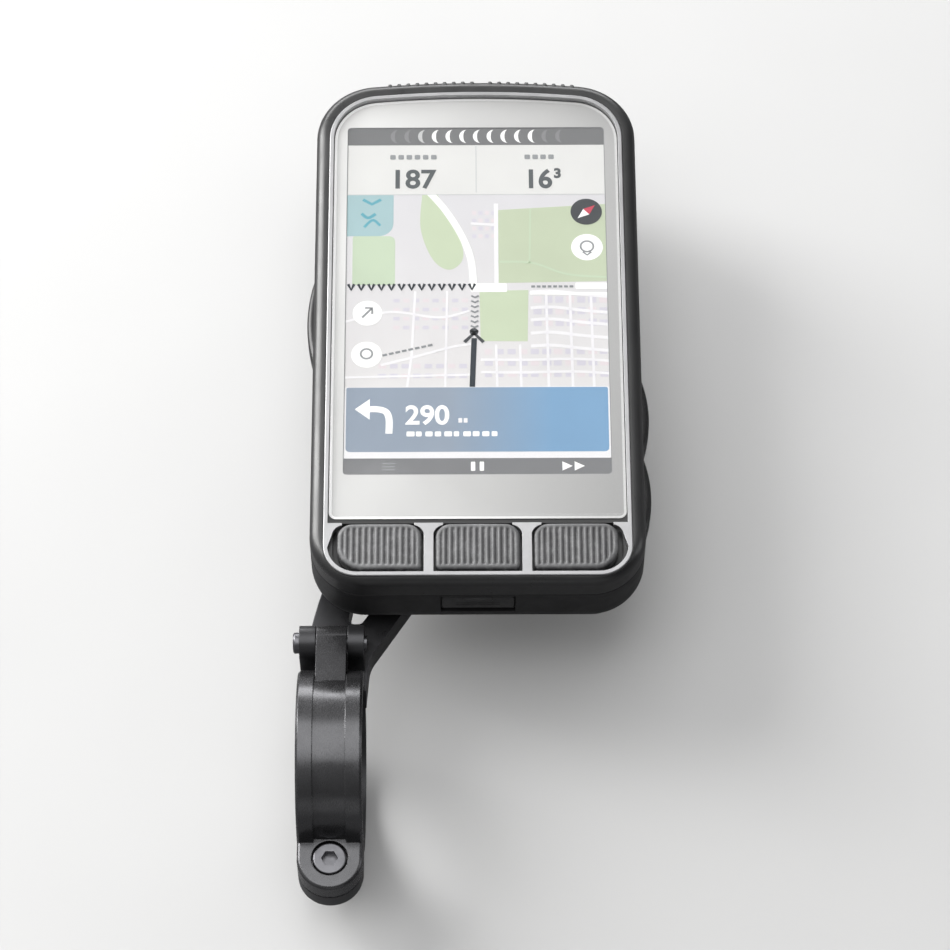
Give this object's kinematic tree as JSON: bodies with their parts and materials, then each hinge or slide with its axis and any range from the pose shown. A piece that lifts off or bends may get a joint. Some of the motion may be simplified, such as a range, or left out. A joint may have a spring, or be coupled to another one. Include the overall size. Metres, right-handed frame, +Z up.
{
  "type": "cycling computer",
  "caption": "Rounded slab bicycle computer with a tall screen, a row of ribbed keys below it and keys on both edges, twist-locked to an out-front handlebar clamp arm.",
  "frame": {"origin": "centre of the handlebar clamp, on the bar's axis, in the middle of the clamp's width", "axes": "+X along the handlebar to the rider's right, +Y forward from the bar to the computer, +Z up, out of the screen"},
  "size_m": [0.0753, 0.185, 0.0419],
  "materials": {
    "front_housing": "fine moulded texture, satin",
    "rear_housing": "fine moulded texture, satin",
    "seal": "moulded",
    "screws": "blackened",
    "face_trim": "satin anodised",
    "display_lens": "clear, printed border",
    "adhesive": "matt",
    "display_panel": "transflective",
    "backlight_tray": "pressed",
    "flex": "polyimide film",
    "menu_buttons": "ribbed, matt",
    "side_buttons": "satin",
    "port_cover": "matt",
    "socket": "drawn",
    "mid_frame": "die cast",
    "boards": "solder mask",
    "shield_cans": "pressed",
    "chips": "moulded",
    "connectors": "moulded",
    "gnss_antenna": "ceramic",
    "buzzer": "moulded",
    "membrane": "woven",
    "air_sensor": "drawn",
    "light_sensor": "clear",
    "radio_antenna": "plated",
    "switches": "moulded",
    "domes": "pressed",
    "battery_pack": "foil pouch",
    "foam": "open cell",
    "leads": "insulated wire",
    "air_grilles": "ribbed",
    "twist_lug": "moulded",
    "twist_receiver": "moulded",
    "mount_arm": "black anodised",
    "clamp_strap": "black anodised",
    "clamp_steel": "blackened"
  },
  "bodies": {
    "bar_mount": {"mount_arm": "mount_arm", "clamp_strap": "clamp_strap", "clamp_hinge_pin": "clamp_steel", "clamp_bolt": "clamp_steel", "clamp_nut": "clamp_steel", "twist_receiver": "twist_receiver", "receiver_screws": "screws"},
    "computer": {"front_housing": "front_housing", "rear_housing": "rear_housing", "housing_seal": "seal", "housing_screws": "screws", "face_trim": "face_trim", "display_lens": "display_lens", "lens_adhesive": "adhesive", "display_panel": "display_panel", "backlight_tray": "backlight_tray", "display_flex": "flex", "keypad_flex": "flex", "button_seals": "seal", "side_button_seals": "seal", "usb_socket": "socket", "mid_frame": "mid_frame", "main_board": "boards", "keypad_board": "boards", "board_screws": "screws", "shield_cans": "shield_cans", "board_chips": "chips", "board_connectors": "connectors", "gnss_antenna": "gnss_antenna", "buzzer": "buzzer", "vent_membrane": "membrane", "air_sensor": "air_sensor", "light_sensor": "light_sensor", "radio_antenna": "radio_antenna", "side_switches": "switches", "keypad_domes": "domes", "battery_pack": "battery_pack", "battery_tape": "adhesive", "battery_foam": "foam", "battery_leads": "leads", "battery_connector": "connectors", "air_grilles": "air_grilles", "twist_lug": "twist_lug", "lug_screws": "screws"},
    "menu_button_left_body": {"menu_button_left": "menu_buttons"},
    "menu_button_centre_body": {"menu_button_centre": "menu_buttons"},
    "menu_button_right_body": {"menu_button_right": "menu_buttons"},
    "power_button_body": {"power_button": "side_buttons"},
    "up_button_body": {"up_button": "side_buttons"},
    "down_button_body": {"down_button": "side_buttons"},
    "port_cover_body": {"port_cover": "port_cover"}
  },
  "joints": [
    {"name": "computer_twist", "type": "hinge", "parent": "bar_mount", "child": "computer", "pos_m": [0.0305, 0.087, 0.002], "axis": [0, 0, 1], "range_deg": [0, 90]},
    {"name": "menu_button_left_press", "type": "slide", "parent": "computer", "child": "menu_button_left_body", "axis": [0, 0, -1], "range_m": [0, 0.0007]},
    {"name": "menu_button_centre_press", "type": "slide", "parent": "computer", "child": "menu_button_centre_body", "axis": [0, 0, -1], "range_m": [0, 0.0007]},
    {"name": "menu_button_right_press", "type": "slide", "parent": "computer", "child": "menu_button_right_body", "axis": [0, 0, -1], "range_m": [0, 0.0007]},
    {"name": "power_button_press", "type": "slide", "parent": "computer", "child": "power_button_body", "axis": [1, 0, 0], "range_m": [0, 0.0006]},
    {"name": "up_button_press", "type": "slide", "parent": "computer", "child": "up_button_body", "axis": [-1, 0, 0], "range_m": [0, 0.0006]},
    {"name": "down_button_press", "type": "slide", "parent": "computer", "child": "down_button_body", "axis": [-1, 0, 0], "range_m": [0, 0.0006]},
    {"name": "port_cover_open", "type": "hinge", "parent": "computer", "child": "port_cover_body", "pos_m": [0.0305, 0.03165, 0.0096], "axis": [1, 0, 0], "range_deg": [0, 90]}
  ]
}
